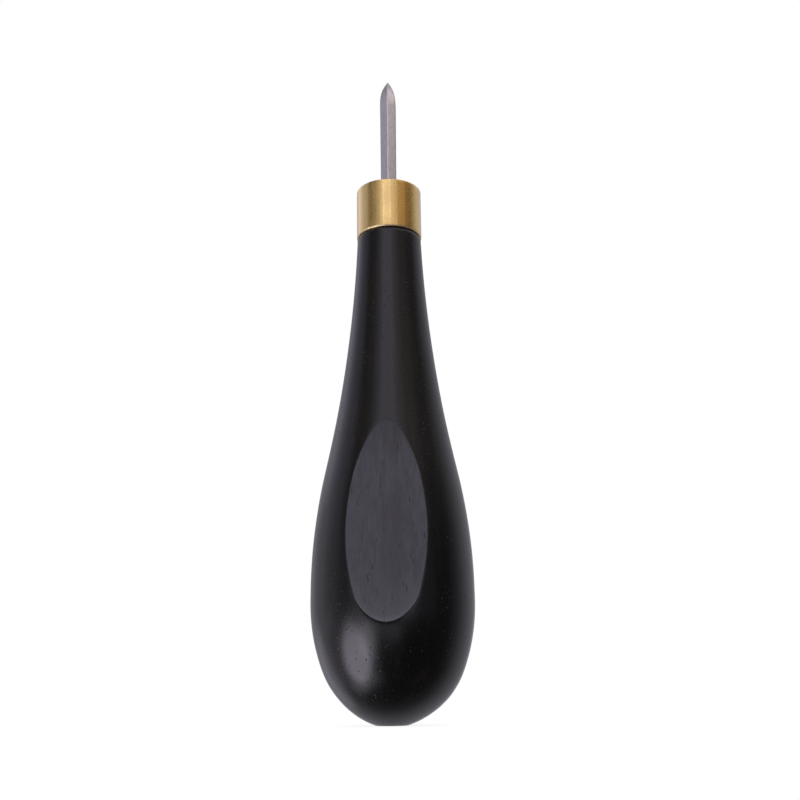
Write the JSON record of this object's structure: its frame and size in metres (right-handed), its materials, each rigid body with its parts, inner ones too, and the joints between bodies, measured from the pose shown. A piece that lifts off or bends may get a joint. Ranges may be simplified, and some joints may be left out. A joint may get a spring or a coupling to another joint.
{
  "type": "diamond awl",
  "caption": "Hand awl for piercing leather: pear-shaped dark wooden handle with a thumb flat, plain brass ferrule and a fixed steel blade of diamond section with a ground point.",
  "frame": {"origin": "centre of the butt's flat, where the tool stands on its end", "axes": "+Z along the tool's axis from the butt to the point, -Y the way the thumb flat faces, +X to the right when looking at the flat with the point up"},
  "size_m": [0.0274, 0.0272, 0.1195],
  "materials": {
    "handle_wood": "satin",
    "ferrule_brass": "turned, lightly tarnished",
    "blade_steel": "ground lengthwise"
  },
  "bodies": {
    "root": {"handle": "handle_wood", "ferrule": "ferrule_brass", "blade": "blade_steel"}
  },
  "joints": []
}
